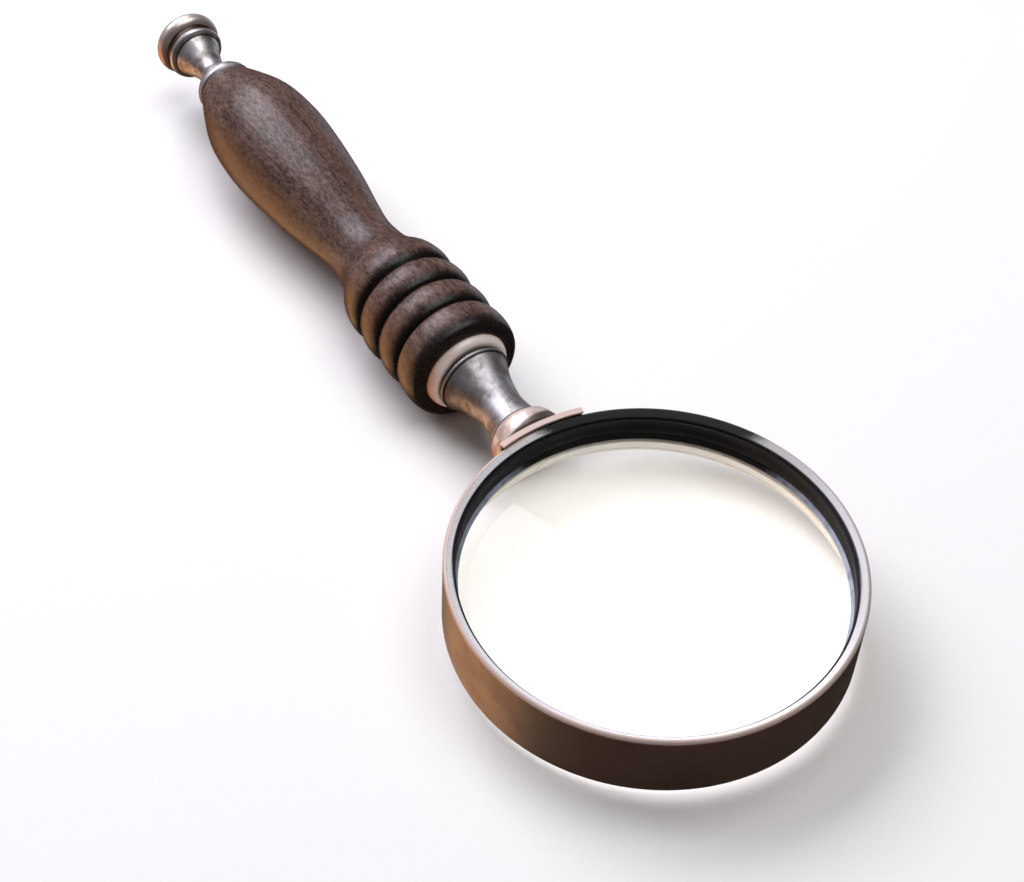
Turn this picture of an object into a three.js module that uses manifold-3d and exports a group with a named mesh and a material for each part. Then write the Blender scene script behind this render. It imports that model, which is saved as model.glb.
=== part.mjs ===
// Hand-held magnifying glass: a round metal rim with a biconvex lens, and a turned wooden handle
// with metal fittings at both ends. It lies on a table: the far edge of the rim and the fattest
// part of the grip rest on it. Millimetres, +Z up, handle towards +Y.
//
// Every piece is drawn in the design frame, where the rim's axis is Z, its middle is the origin
// and the handle's axis is Y. "Station" is a distance along the handle from the rim's middle.

import * as THREE from 'three';
import { mergeVertices } from 'three/addons/utils/BufferGeometryUtils.js';
import Module from 'manifold-3d';

// ---- Driving dimensions -------------------------------------------------------------------

const RIM_RADIUS = 42;
const RIM_HEIGHT = 16.4;
const RIM_WALL = 1.4;
const TOP_LIP_INNER = 40;
const TOP_LIP_DEPTH = 1.4; // from the rim's crown to the underside of the lip
const TOP_BEVEL_DROP = 1; // how far the lip slopes down towards the lens
const BOTTOM_LIP_INNER = 39.3;
const BOTTOM_LIP_THICKNESS = 1.1;

const LENS_RADIUS = 40.2;
const LENS_EDGE = 2.2;
const LENS_EDGE_BOTTOM = -1.2;
const LENS_CURVE_RADIUS = 150;

const GAP = 0.25; // clearance between pieces that touch
const BAND_THICKNESS = 0.9; // split bands inside the rim
const BAND_SPLIT = 0.6; // width of each band's split, measured along the rim

const SADDLE_THICKNESS = 0.8;
const SADDLE_HALF_ANGLE = THREE.MathUtils.degToRad(13.6);
const SADDLE_HOOK = 0.6; // thickness of the edges that fold over the rim's lips
const SADDLE_HOOK_INNER = 41.6;

const ROD_RADIUS = 3;
const SCREW_RADIUS = 2;
const NECK_RADIUS = 5.2; // thinnest place of the metal ferrule
const BEAD_RADIUS = 13.6; // crest of the wooden beads
const BEAD_GROOVE_RADIUS = 12;
const WAIST_RADIUS = 8.6; // thinnest place of the wood
const GRIP_RADIUS = 13.35; // fattest place of the wood
const KNOB_RADIUS = 8.3;

// Stations along the handle
const FOOT_FRONT = 43.3;
const FOOT_BACK = 50.2;
const FERRULE_BACK = 67.6;
const CUP_FRONT = 68.6;
const WOOD_FRONT = 70.4;
const BEADS_END = 104;
const WAIST = 117;
const GRIP = 159;
const WOOD_BACK = 183.8;
const BELL_BACK = 191;
const KNOB_BACK = 212;

// Sides of the round pieces
const RIM_SEGMENTS = 56;
const HANDLE_SEGMENTS = 28;
const INNER_SEGMENTS = 16;

const wasm = await Module();
wasm.setup();

// ---- Geometry helpers ---------------------------------------------------------------------

// Points on a round stretch of an outline, from one angle to another (degrees).
function arc(centreX, centreY, radius, fromDegrees, toDegrees, steps) {
  const points = [];
  for (let i = 0; i <= steps; i++) {
    const angle = THREE.MathUtils.degToRad(fromDegrees + ((toDegrees - fromDegrees) * i) / steps);
    points.push([centreX + radius * Math.cos(angle), centreY + radius * Math.sin(angle)]);
  }
  return points;
}

// An outline, a list of [radius, station], as vectors.
function vectors(outline) {
  return outline.map(([radius, station]) => new THREE.Vector2(radius, station));
}

// Points on a smooth curve through a few [radius, station] knots.
function smooth(knots, steps) {
  const curve = new THREE.SplineCurve(vectors(knots));
  return curve.getPoints(steps).map((point) => [point.x, point.y]);
}

// A piece turned about the handle's axis.
function turned(outline, segments = HANDLE_SEGMENTS) {
  return new THREE.LatheGeometry(vectors(outline), segments);
}

// A ring turned about the rim's axis. The outline is a list of [radius, height] and is closed here.
function rimRing(outline) {
  return turned([...outline, outline[0]], RIM_SEGMENTS).rotateX(Math.PI / 2);
}

// A ring turned about the handle's axis, with its outline closed.
function handleRing(outline, segments) {
  return turned([...outline, outline[0]], segments);
}

// A curved strip that stands on edge round the rim's axis, centred on the direction of +Y.
function rimSector(innerRadius, outerRadius, bottom, height, halfAngle, segments) {
  const middle = Math.PI / 2;
  const shape = new THREE.Shape();
  shape.absarc(0, 0, outerRadius, middle - halfAngle, middle + halfAngle, false);
  shape.absarc(0, 0, innerRadius, middle + halfAngle, middle - halfAngle, true);
  shape.closePath();
  const curveSegments = segments / 2; // a round curve gets two points for each of these
  const strip = new THREE.ExtrudeGeometry(shape, { depth: height, bevelEnabled: false, curveSegments });
  return strip.translate(0, 0, bottom);
}

// A closed geometry as a solid that can be cut.
function solidOf(geometry) {
  const bare = geometry.clone();
  bare.deleteAttribute('normal');
  bare.deleteAttribute('uv');
  const merged = mergeVertices(bare);
  const corners = merged.index.array;
  const triangles = [];
  for (let i = 0; i < corners.length; i += 3) {
    const [a, b, c] = [corners[i], corners[i + 1], corners[i + 2]];
    if (a !== b && b !== c && c !== a) {
      triangles.push(a, b, c);
    }
  }
  const mesh = new wasm.Mesh({
    numProp: 3,
    vertProperties: new Float32Array(merged.attributes.position.array),
    triVerts: new Uint32Array(triangles),
  });
  return new wasm.Manifold(mesh);
}

function geometryOf(solid) {
  const mesh = solid.getMesh();
  const geometry = new THREE.BufferGeometry();
  geometry.setAttribute('position', new THREE.BufferAttribute(new Float32Array(mesh.vertProperties), 3));
  geometry.setIndex(new THREE.BufferAttribute(new Uint32Array(mesh.triVerts), 1));
  geometry.computeVertexNormals();
  return geometry;
}

function cut(geometry, ...tools) {
  const whole = solidOf(geometry);
  const rest = tools.reduce((left, tool) => left.subtract(solidOf(tool)), whole);
  return geometryOf(rest);
}

// ---- Lens end -----------------------------------------------------------------------------

const RIM_TOP = RIM_HEIGHT / 2;
const WALL_INNER = RIM_RADIUS - RIM_WALL;
const LENS_EDGE_TOP = LENS_EDGE_BOTTOM + LENS_EDGE;
const CLAMP_BOTTOM = LENS_EDGE_TOP + 0.6;
const CLAMP_HEIGHT = 1;
const CLAMP_INNER = 38.9;
const GASKET_INNER = 39.2;
const GASKET_TOP = LENS_EDGE_BOTTOM - 0.45;
const GASKET_THICKNESS = 0.6;

// The hole for the rim screw, with its countersink, as the piece that is cut away.
function screwHole() {
  const inside = 39.5; // clear of the rim's inner wall
  const outside = 46; // clear of the saddle plate
  const countersinkEnd = 42.15;
  const countersinkRadius = 4.9;
  const radius = SCREW_RADIUS + GAP;
  return turned([
    [0, inside],
    [countersinkRadius, inside],
    [radius, countersinkEnd],
    [radius, outside],
    [0, outside],
  ], INNER_SEGMENTS);
}

// The outer band: a tube with a top lip that slopes down towards the lens, and a small bottom lip.
function rimBand() {
  const round = 0.7;
  const edge = 0.6;
  const outline = [
    [BOTTOM_LIP_INNER + 0.3, -RIM_TOP],
    [RIM_RADIUS - edge, -RIM_TOP],
    [RIM_RADIUS, -RIM_TOP + edge],
    ...arc(RIM_RADIUS - round, RIM_TOP - round, round, 0, 90, 4),
    [TOP_LIP_INNER, RIM_TOP - TOP_BEVEL_DROP],
    [TOP_LIP_INNER, RIM_TOP - TOP_LIP_DEPTH],
    [WALL_INNER, RIM_TOP - TOP_LIP_DEPTH],
    [WALL_INNER, -RIM_TOP + BOTTOM_LIP_THICKNESS],
    [BOTTOM_LIP_INNER, -RIM_TOP + BOTTOM_LIP_THICKNESS],
    [BOTTOM_LIP_INNER, -RIM_TOP + 0.3],
  ];
  return cut(rimRing(outline), screwHole());
}

// A spring band inside the rim, split at the handle.
function splitBand(bottom, top) {
  const outer = WALL_INNER - GAP;
  const inner = outer - BAND_THICKNESS;
  const halfAngle = Math.PI - BAND_SPLIT / 2 / outer;
  return rimSector(inner, outer, bottom, top - bottom, halfAngle, RIM_SEGMENTS).rotateZ(Math.PI);
}

function lens() {
  const edgeAngle = THREE.MathUtils.radToDeg(Math.asin(LENS_RADIUS / LENS_CURVE_RADIUS));
  const edgeDrop = Math.sqrt(LENS_CURVE_RADIUS ** 2 - LENS_RADIUS ** 2);
  const faceSteps = 5;
  const bottomFace = arc(0, LENS_EDGE_BOTTOM + edgeDrop, LENS_CURVE_RADIUS, -90, -90 + edgeAngle, faceSteps);
  const topFace = arc(0, LENS_EDGE_TOP - edgeDrop, LENS_CURVE_RADIUS, 90 - edgeAngle, 90, faceSteps);
  bottomFace[0][0] = 0;
  topFace[faceSteps][0] = 0;
  return turned([...bottomFace, ...topFace], RIM_SEGMENTS).rotateX(Math.PI / 2);
}

function lensGasket() {
  const outer = WALL_INNER - GAP;
  return rimRing([
    [GASKET_INNER, GASKET_TOP - GASKET_THICKNESS],
    [outer, GASKET_TOP - GASKET_THICKNESS],
    [outer, GASKET_TOP],
    [GASKET_INNER, GASKET_TOP],
  ]);
}

// The ring that holds the lens down. Its inner edge is bevelled towards the eye.
function clampRing() {
  const outer = WALL_INNER - GAP;
  const top = CLAMP_BOTTOM + CLAMP_HEIGHT;
  return rimRing([
    [CLAMP_INNER, CLAMP_BOTTOM],
    [outer, CLAMP_BOTTOM],
    [outer, top],
    [outer - BAND_THICKNESS, top],
    [CLAMP_INNER, CLAMP_BOTTOM + 0.3],
  ]);
}

// ---- Joint between rim and handle ---------------------------------------------------------

// A curved plate on the rim's outer wall. Its top and bottom edges fold over the rim's lips.
function saddlePlate() {
  const inner = RIM_RADIUS + GAP;
  const outer = inner + SADDLE_THICKNESS;
  const hookBase = RIM_TOP + GAP;
  const height = hookBase + SADDLE_HOOK;
  const strip = (innerRadius, bottom, thickness) =>
    solidOf(rimSector(innerRadius, outer, bottom, thickness, SADDLE_HALF_ANGLE, 10));
  const plate = strip(inner, -height, 2 * height);
  const topHook = strip(SADDLE_HOOK_INNER, hookBase, SADDLE_HOOK);
  const bottomHook = topHook.mirror([0, 0, 1]);
  return geometryOf(plate.add(topHook).add(bottomHook).subtract(solidOf(screwHole())));
}

// Countersunk screw, with a straight slot in its head.
function rimScrew() {
  const headFace = 40.8;
  const headRadius = 3.35;
  const tip = 51.5;
  const screw = turned([
    [0, headFace],
    [headRadius, headFace],
    [SCREW_RADIUS, headFace + headRadius - SCREW_RADIUS],
    [SCREW_RADIUS, tip - 1],
    [SCREW_RADIUS - 1, tip],
    [0, tip],
  ], INNER_SEGMENTS);
  const slotDepth = 0.7;
  const slot = new THREE.BoxGeometry(4 * headRadius, 2 * slotDepth, 0.9).translate(0, headFace, 0);
  return cut(screw, slot);
}

const BORE = ROD_RADIUS + GAP;
const FERRULE_FOOT_RADIUS = 5.85;
const FERRULE_LIP_RADIUS = 8.5;

// A flared collar. A short boss on its front stands on the saddle plate.
function footCollar() {
  const footRadius = 8.2;
  const bossRadius = 6.3;
  const bossLength = 0.8;
  return handleRing([
    [BORE, FOOT_FRONT],
    [bossRadius, FOOT_FRONT],
    [bossRadius, FOOT_FRONT + bossLength],
    [footRadius - 0.4, FOOT_FRONT + bossLength],
    [footRadius, FOOT_FRONT + bossLength + 0.4],
    [footRadius, FOOT_FRONT + 3.1],
    [7.7, FOOT_FRONT + 5],
    [7, FOOT_FRONT + 5.8],
    [6.3, FOOT_FRONT + 6.3],
    [FERRULE_FOOT_RADIUS, FOOT_BACK],
    [BORE, FOOT_BACK],
  ]);
}

function trumpetFerrule() {
  const front = FOOT_BACK + GAP;
  return handleRing([
    [BORE, front],
    ...smooth(
      [
        [FERRULE_FOOT_RADIUS, front],
        [5.3, front + 2.8],
        [NECK_RADIUS, front + 6.3],
        [6, front + 10.8],
        [7.1, front + 14],
        [FERRULE_LIP_RADIUS - 0.3, FERRULE_BACK - 0.7],
      ],
      11,
    ),
    [FERRULE_LIP_RADIUS, FERRULE_BACK - 0.6],
    [FERRULE_LIP_RADIUS, FERRULE_BACK],
    [BORE, FERRULE_BACK],
  ]);
}

function filletRing() {
  const front = FERRULE_BACK + GAP;
  const back = CUP_FRONT - GAP;
  const radius = FERRULE_LIP_RADIUS - 0.2;
  return handleRing([
    [BORE, front],
    [radius, front],
    [radius, back],
    [BORE, back],
  ]);
}

const CUP_RADIUS = 9.9;
const CUP_BACK = 73.4;
const CUP_FLOOR = 70;
const CUP_INNER = 8.9;

// The cup round the wood's front end, with a rounded shoulder.
function copperBand() {
  const depth = 1.5;
  const length = 2.4;
  const shoulder = arc(0, 0, 1, -90, 0, 5).map(([x, y]) => [
    CUP_RADIUS - depth * (1 - x),
    CUP_FRONT + length * (1 + y),
  ]);
  return handleRing([
    [BORE, CUP_FRONT],
    ...shoulder,
    [CUP_RADIUS, CUP_BACK],
    [CUP_INNER, CUP_BACK],
    [CUP_INNER, CUP_FLOOR],
    [BORE, CUP_FLOOR],
  ]);
}

const WASHER_THICKNESS = 0.7;
const NUT_HEIGHT = 3;
const NUT_ACROSS_CORNERS = 11.4;
const INSERT_FRONT = 75.1;
const INSERT_LENGTH = 12;
const INSERT_RADIUS = 5.2;
const ROD_FRONT = 44.5;
const ROD_BACK = INSERT_FRONT + INSERT_LENGTH - 1;

// The rod that holds the fittings together. Its front end is tapped for the rim screw.
function tieRod() {
  const tapDepth = 8.5;
  const tapRadius = SCREW_RADIUS + GAP;
  return turned([
    [0, ROD_FRONT + tapDepth],
    [tapRadius, ROD_FRONT + tapDepth - 1],
    [tapRadius, ROD_FRONT],
    [ROD_RADIUS, ROD_FRONT],
    [ROD_RADIUS, ROD_BACK - 0.8],
    [ROD_RADIUS - 0.8, ROD_BACK],
    [0, ROD_BACK],
  ], INNER_SEGMENTS);
}

function lockWasher() {
  const front = CUP_FLOOR + GAP;
  const radius = 5.4;
  return handleRing([
    [BORE, front],
    [radius, front],
    [radius, front + WASHER_THICKNESS],
    [BORE, front + WASHER_THICKNESS],
  ], INNER_SEGMENTS);
}

function lockNut() {
  const front = CUP_FLOOR + GAP + WASHER_THICKNESS + GAP;
  const sides = 6;
  const corners = arc(0, 0, NUT_ACROSS_CORNERS / 2, 0, 360 - 360 / sides, sides - 1);
  const shape = new THREE.Shape(vectors(corners));
  shape.holes.push(new THREE.Path().absarc(0, 0, BORE, 0, 2 * Math.PI, true));
  const curveSegments = INNER_SEGMENTS / 2; // the round hole gets two points for each of these
  const nut = new THREE.ExtrudeGeometry(shape, { depth: NUT_HEIGHT, bevelEnabled: false, curveSegments });
  return nut.rotateX(-Math.PI / 2).translate(0, front, 0);
}

// A threaded insert with a shallow groove round its middle.
function insert(front, length, radius, bore) {
  const groove = 0.5;
  return handleRing([
    [bore, front],
    [radius, front],
    [radius, front + length / 3],
    [radius - groove, front + length / 3 + groove],
    [radius - groove, front + (2 * length) / 3 - groove],
    [radius, front + (2 * length) / 3],
    [radius, front + length],
    [bore, front + length],
  ], INNER_SEGMENTS);
}

// ---- Handle -------------------------------------------------------------------------------

const REAR_INSERT_RADIUS = 3.8;
const REAR_INSERT_LENGTH = 12;
const REAR_INSERT_BACK = WOOD_BACK - 2;
const STUD_RADIUS = 2;
const STUD_FRONT = 171;
const STUD_BACK = 199;
const STUD_BORE = STUD_RADIUS + GAP;
const FINIAL_NECK_RADIUS = 3.4;

// One rounded bead from one groove to the next: a shallow arch.
function bead(from, to, grooveRadius, crestRadius) {
  const steps = 5;
  const points = [];
  for (let i = 1; i <= steps; i++) {
    const t = i / steps;
    const rise = Math.sqrt(Math.sin(Math.PI * t));
    points.push([grooveRadius + (crestRadius - grooveRadius) * rise, from + (to - from) * t]);
  }
  return points;
}

// The outside of the wood, from its front face to its back face.
function woodOutline() {
  const firstGroove = 79.3;
  const beadPitch = 8.1;
  const beads = [0, 1].flatMap((i) =>
    bead(firstGroove + i * beadPitch, firstGroove + (i + 1) * beadPitch, BEAD_GROOVE_RADIUS, BEAD_RADIUS),
  );
  const lastGroove = firstGroove + 2 * beadPitch;
  return [
    [CUP_RADIUS + GAP, WOOD_FRONT],
    ...smooth(
      [
        [12.1, WOOD_FRONT + 0.1],
        [13.1, WOOD_FRONT + 1.1],
        [BEAD_RADIUS, WOOD_FRONT + 4.2],
        [13.2, firstGroove - 1.3],
        [BEAD_GROOVE_RADIUS, firstGroove],
      ],
      11,
    ),
    ...beads,
    ...smooth(
      [
        [BEAD_GROOVE_RADIUS, lastGroove],
        [13, lastGroove + 1.5],
        [13.2, lastGroove + 4],
        [12.4, BEADS_END - 1],
        [10.6, BEADS_END + 2.3],
        [9.3, WAIST - 7],
        [WAIST_RADIUS, WAIST],
        [9.4, WAIST + 7],
        [11.3, WAIST + 18],
        [12.9, GRIP - 10],
        [GRIP_RADIUS, GRIP],
        [12.5, GRIP + 10],
        [10.2, GRIP + 17.5],
        [7.6, WOOD_BACK - 0.8],
      ],
      26,
    ).slice(1),
    [7.2, WOOD_BACK],
  ];
}

function woodHandle() {
  const nutRecess = 6.4;
  const spigot = CUP_INNER - GAP;
  const spigotFront = CUP_FLOOR + 1.3;
  const boreEnd = INSERT_FRONT + INSERT_LENGTH + GAP;
  const rearBoreEnd = STUD_FRONT - 2;
  const rearShoulder = REAR_INSERT_BACK - REAR_INSERT_LENGTH - GAP;
  return turned([
    [0, boreEnd + 3],
    [BORE, boreEnd + 2],
    [BORE, boreEnd],
    [INSERT_RADIUS + GAP, boreEnd],
    [INSERT_RADIUS + GAP, INSERT_FRONT - GAP],
    [nutRecess, INSERT_FRONT - GAP],
    [nutRecess, spigotFront],
    [spigot, spigotFront],
    [spigot, CUP_BACK + GAP],
    [CUP_RADIUS + GAP, CUP_BACK + GAP],
    ...woodOutline(),
    [REAR_INSERT_RADIUS + GAP, WOOD_BACK],
    [REAR_INSERT_RADIUS + GAP, rearShoulder],
    [STUD_BORE, rearShoulder],
    [STUD_BORE, rearBoreEnd],
    [0, rearBoreEnd - 1],
  ]);
}

function finialStud() {
  const chamfer = 0.6;
  return turned([
    [0, STUD_FRONT],
    [STUD_RADIUS - chamfer, STUD_FRONT],
    [STUD_RADIUS, STUD_FRONT + chamfer],
    [STUD_RADIUS, STUD_BACK - chamfer],
    [STUD_RADIUS - chamfer, STUD_BACK],
    [0, STUD_BACK],
  ], INNER_SEGMENTS);
}

// Bell-shaped collar on the wood's back face.
function finialCollar() {
  const front = WOOD_BACK + GAP;
  const bell = [
    [7.3, front + 0.5],
    [7.1, front + 1.9],
    [6, front + 3.7],
    [4.5, front + 5.2],
    [FINIAL_NECK_RADIUS, BELL_BACK],
  ];
  return handleRing([
    [STUD_BORE, front],
    [6.9, front],
    ...smooth(bell, 9),
    [STUD_BORE, BELL_BACK],
  ]);
}

// Knob: a cone that widens from its neck, a thin ridge, and a rounded rim with a domed end.
function finialKnob() {
  const neck = BELL_BACK + GAP;
  const ridge = 201.8;
  const groove = 203;
  const rimCentre = 206.2;
  const rimRound = 2.3;
  const cone = [
    [FINIAL_NECK_RADIUS, neck],
    [FINIAL_NECK_RADIUS, neck + 1.5],
    [4.5, neck + 5.6],
    [6, ridge - 1.4],
  ];
  return turned([
    [0, STUD_BACK + 1.2],
    [STUD_BORE, STUD_BACK + GAP],
    [STUD_BORE, neck],
    ...smooth(cone, 7),
    [6.9, ridge - 0.7],
    [7.2, ridge],
    [6.6, ridge + 0.7],
    [6.4, groove],
    ...arc(KNOB_RADIUS - rimRound, rimCentre, rimRound, -75, 70, 7),
    ...smooth([[5.6, KNOB_BACK - 2.6], [3.6, KNOB_BACK - 0.9], [0, KNOB_BACK]], 5),
  ]);
}

// ---- Materials ----------------------------------------------------------------------------

function metal(color, roughness) {
  return new THREE.MeshStandardMaterial({ color, roughness, metalness: 1 });
}

function plain(color, roughness) {
  return new THREE.MeshStandardMaterial({ color, roughness, metalness: 0 });
}

const antiqueCopper = metal(0x9a6b4c, 0.38);
const paleCopper = metal(0xd9b09a, 0.3);
const agedSilver = metal(0x9c948c, 0.34);
const blackened = plain(0x16181b, 0.5);
const steel = metal(0x8a8d90, 0.35);
const brass = metal(0xb08d4a, 0.4);
const silicone = plain(0xd0cbbb, 0.6);
const ivory = plain(0xefe8d8, 0.5);
const darkSteel = metal(0x5a6068, 0.4);
const wood = plain(0x4a2f24, 0.42);
const glass = new THREE.MeshStandardMaterial({
  color: 0xf4f6f4,
  roughness: 0.03,
  metalness: 0,
  transparent: true,
  opacity: 0.3,
});

// ---- Assembly -----------------------------------------------------------------------------

function piece(name, geometry, material) {
  const mesh = new THREE.Mesh(geometry, material.clone());
  mesh.name = name;
  return mesh;
}

const LINER_TOP = RIM_TOP - TOP_LIP_DEPTH - GAP;
const SEAT_BOTTOM = -RIM_TOP + BOTTOM_LIP_THICKNESS + GAP;
const SEAT_TOP = GASKET_TOP - GASKET_THICKNESS - GAP;

const lensEnd = new THREE.Group();
lensEnd.add(
  piece('rim_band', rimBand(), antiqueCopper),
  piece('seat_band', splitBand(SEAT_BOTTOM, SEAT_TOP), ivory),
  piece('lens_gasket', lensGasket(), silicone),
  piece('lens', lens(), glass),
  piece('clamp_ring', clampRing(), darkSteel),
  piece('liner_band', splitBand(CLAMP_BOTTOM + CLAMP_HEIGHT + GAP, LINER_TOP), blackened),
);

const handleJoint = new THREE.Group();
handleJoint.add(
  piece('saddle_plate', saddlePlate(), paleCopper),
  piece('rim_screw', rimScrew(), steel),
  piece('foot_collar', footCollar(), paleCopper),
  piece('trumpet_ferrule', trumpetFerrule(), agedSilver),
  piece('fillet_ring', filletRing(), agedSilver),
  piece('copper_band', copperBand(), paleCopper),
  piece('tie_rod', tieRod(), steel),
  piece('lock_washer', lockWasher(), steel),
  piece('lock_nut', lockNut(), steel),
  piece('front_insert', insert(INSERT_FRONT, INSERT_LENGTH, INSERT_RADIUS, BORE), brass),
);

const handle = new THREE.Group();
handle.add(
  piece('wood_handle', woodHandle(), wood),
  piece(
    'rear_insert',
    insert(REAR_INSERT_BACK - REAR_INSERT_LENGTH, REAR_INSERT_LENGTH, REAR_INSERT_RADIUS, STUD_BORE),
    brass,
  ),
  piece('finial_stud', finialStud(), steel),
  piece('finial_collar', finialCollar(), agedSilver),
  piece('finial_knob', finialKnob(), agedSilver),
);

// The grip is fatter than half the rim's height, so the whole glass tips up a little at the handle.
const assembly = new THREE.Group();
assembly.add(lensEnd, handleJoint, handle);
assembly.rotation.x = Math.atan((GRIP_RADIUS - RIM_HEIGHT / 2) / (GRIP + RIM_RADIUS));

// The origin is the middle of the object's footprint, on the table.
const box = new THREE.Box3().setFromObject(assembly, true);
assembly.position.set(0, -(box.min.y + box.max.y) / 2, -box.min.z);

const magnifyingGlass = new THREE.Group();
magnifyingGlass.add(assembly);
magnifyingGlass.updateMatrixWorld(true);

export default magnifyingGlass;
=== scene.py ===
"""Looks of the hand-held magnifying glass: its visible pieces turned at full smoothness, their
procedural materials, a pale floor, soft studio light and the camera.

Outlines are in millimetres in the design frame: the rim's middle is the origin, the rim's axis
is Z and the handle's axis is Y. A "station" is a distance along the handle from the rim's middle.
"""

import math

import bmesh
import bpy
import numpy as np
from mathutils import Matrix, Vector


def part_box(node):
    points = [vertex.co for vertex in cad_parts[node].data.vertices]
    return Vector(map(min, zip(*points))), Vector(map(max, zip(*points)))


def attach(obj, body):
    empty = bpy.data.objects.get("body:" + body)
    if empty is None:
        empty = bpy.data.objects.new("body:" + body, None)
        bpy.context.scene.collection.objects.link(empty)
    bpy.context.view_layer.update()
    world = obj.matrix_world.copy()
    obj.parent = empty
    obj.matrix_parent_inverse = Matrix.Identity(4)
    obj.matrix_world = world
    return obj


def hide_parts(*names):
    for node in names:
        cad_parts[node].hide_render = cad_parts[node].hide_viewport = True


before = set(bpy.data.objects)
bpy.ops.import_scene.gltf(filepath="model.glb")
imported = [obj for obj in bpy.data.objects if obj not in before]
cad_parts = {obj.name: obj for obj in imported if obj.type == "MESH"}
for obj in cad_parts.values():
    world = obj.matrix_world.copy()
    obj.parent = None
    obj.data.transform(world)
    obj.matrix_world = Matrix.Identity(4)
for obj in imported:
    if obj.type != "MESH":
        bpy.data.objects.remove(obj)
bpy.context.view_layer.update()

MM = 0.001

# ---- The design frame, read from the CAD pieces -------------------------------------------


def middle(node):
    """The middle of a CAD node's box. For a symmetric ring that is a point on its axis."""
    low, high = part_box(node)
    return (low + high) / 2


RIM_MIDDLE = middle("rim_band")
ALONG_HANDLE = (middle("rear_insert") - RIM_MIDDLE).normalized()
TILT = math.atan2(ALONG_HANDLE.z, ALONG_HANDLE.y)
DESIGN_TO_ROW = Matrix.Translation(RIM_MIDDLE) @ Matrix.Rotation(TILT, 4, "X")

# ---- Dimensions, in millimetres -----------------------------------------------------------

GAP = 0.25  # clearance between pieces that touch

RIM_RADIUS = 42
RIM_TOP = 8.2
RIM_WALL = 1.4
WALL_INNER = RIM_RADIUS - RIM_WALL
TOP_LIP_INNER = 40
TOP_LIP_DEPTH = 1.4
TOP_BEVEL_DROP = 1
BOTTOM_LIP_INNER = 39.3
BOTTOM_LIP_THICKNESS = 1.1

LENS_RADIUS = 40.2
LENS_EDGE_BOTTOM = -1.2
LENS_EDGE_TOP = 1
LENS_CURVE_RADIUS = 150

BAND_THICKNESS = 0.9
BAND_SPLIT = 0.6
LINER_TOP = RIM_TOP - TOP_LIP_DEPTH - GAP
SEAT_BOTTOM = -RIM_TOP + BOTTOM_LIP_THICKNESS + GAP
CLAMP_BOTTOM = LENS_EDGE_TOP + 0.6
CLAMP_HEIGHT = 1
CLAMP_INNER = 38.9
GASKET_TOP = LENS_EDGE_BOTTOM - 0.45
GASKET_THICKNESS = 0.6
GASKET_INNER = 39.2
SEAT_TOP = GASKET_TOP - GASKET_THICKNESS - GAP

SADDLE_THICKNESS = 0.8
SADDLE_HALF_ANGLE = 13.6  # degrees
SADDLE_HOOK = 0.6
SADDLE_HOOK_INNER = 41.6
SCREW_RADIUS = 2

BORE = 3.25  # round the tie rod
FERRULE_FOOT_RADIUS = 5.85
NECK_RADIUS = 5.2
FERRULE_LIP_RADIUS = 8.5
CUP_RADIUS = 9.9
CUP_INNER = 8.9
BEAD_RADIUS = 13.6
BEAD_GROOVE_RADIUS = 12
WAIST_RADIUS = 8.6
GRIP_RADIUS = 13.35
FINIAL_NECK_RADIUS = 3.4
KNOB_RADIUS = 8.3
STUD_BORE = 2.25
NUT_RECESS = 6.4
FRONT_INSERT_BORE = 5.45
REAR_INSERT_BORE = 4.05

# Stations along the handle
FOOT_FRONT = 43.3
FOOT_BACK = 50.2
FERRULE_BACK = 67.6
CUP_FRONT = 68.6
CUP_FLOOR = 70
WOOD_FRONT = 70.4
CUP_BACK = 73.4
FRONT_INSERT = (74.85, 87.35)  # the bore that the front insert sits in
FIRST_GROOVE = 79.3
BEAD_PITCH = 8.1
BEADS_END = 104
WAIST = 117
GRIP = 159
REAR_INSERT = 169.55  # the inner end of the rear insert's bore
WOOD_BACK = 183.8
BELL_BACK = 191
KNOB_BACK = 212

RIM_SIDES = 256
HANDLE_SIDES = 144
HOLE_SIDES = 48
SADDLE_SIDES = 720  # of a full turn, of which the saddle plate takes a small part
SHARPEST_BEND = 50  # degrees; a sharper bend between two faces is shaded as an edge
CORNER_STEPS = 4
ON_AXIS = 1e-6  # a smaller radius counts as a point on the axis
NO_LENGTH = 1e-9  # keeps a direction of no length from being divided by zero
SAME_POINT = 0.002  # points closer than this are merged where a hole is cut

# ---- Outlines -----------------------------------------------------------------------------


def arc(centre, radius, start, end, steps=10):
    """Points on a round stretch of an outline, from one angle to another, in degrees."""
    angles = np.radians(np.linspace(start, end, steps + 1))
    return [(centre[0] + radius * math.cos(a), centre[1] + radius * math.sin(a)) for a in angles]


def smooth(knots, steps=8):
    """Points on a smooth curve through a few knots, with this many steps between two knots."""
    points = [Vector(k) for k in knots]
    curve = []
    for i in range(len(points) - 1):
        before = points[max(i - 1, 0)]
        after = points[min(i + 2, len(points) - 1)]
        start_slope = (points[i + 1] - before) / 2
        end_slope = (after - points[i]) / 2
        for step in range(steps):
            t = step / steps
            curve.append(
                (2 * t**3 - 3 * t**2 + 1) * points[i]
                + (t**3 - 2 * t**2 + t) * start_slope
                + (3 * t**2 - 2 * t**3) * points[i + 1]
                + (t**3 - t**2) * end_slope
            )
    curve.append(points[-1])
    return [tuple(point) for point in curve]


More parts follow.
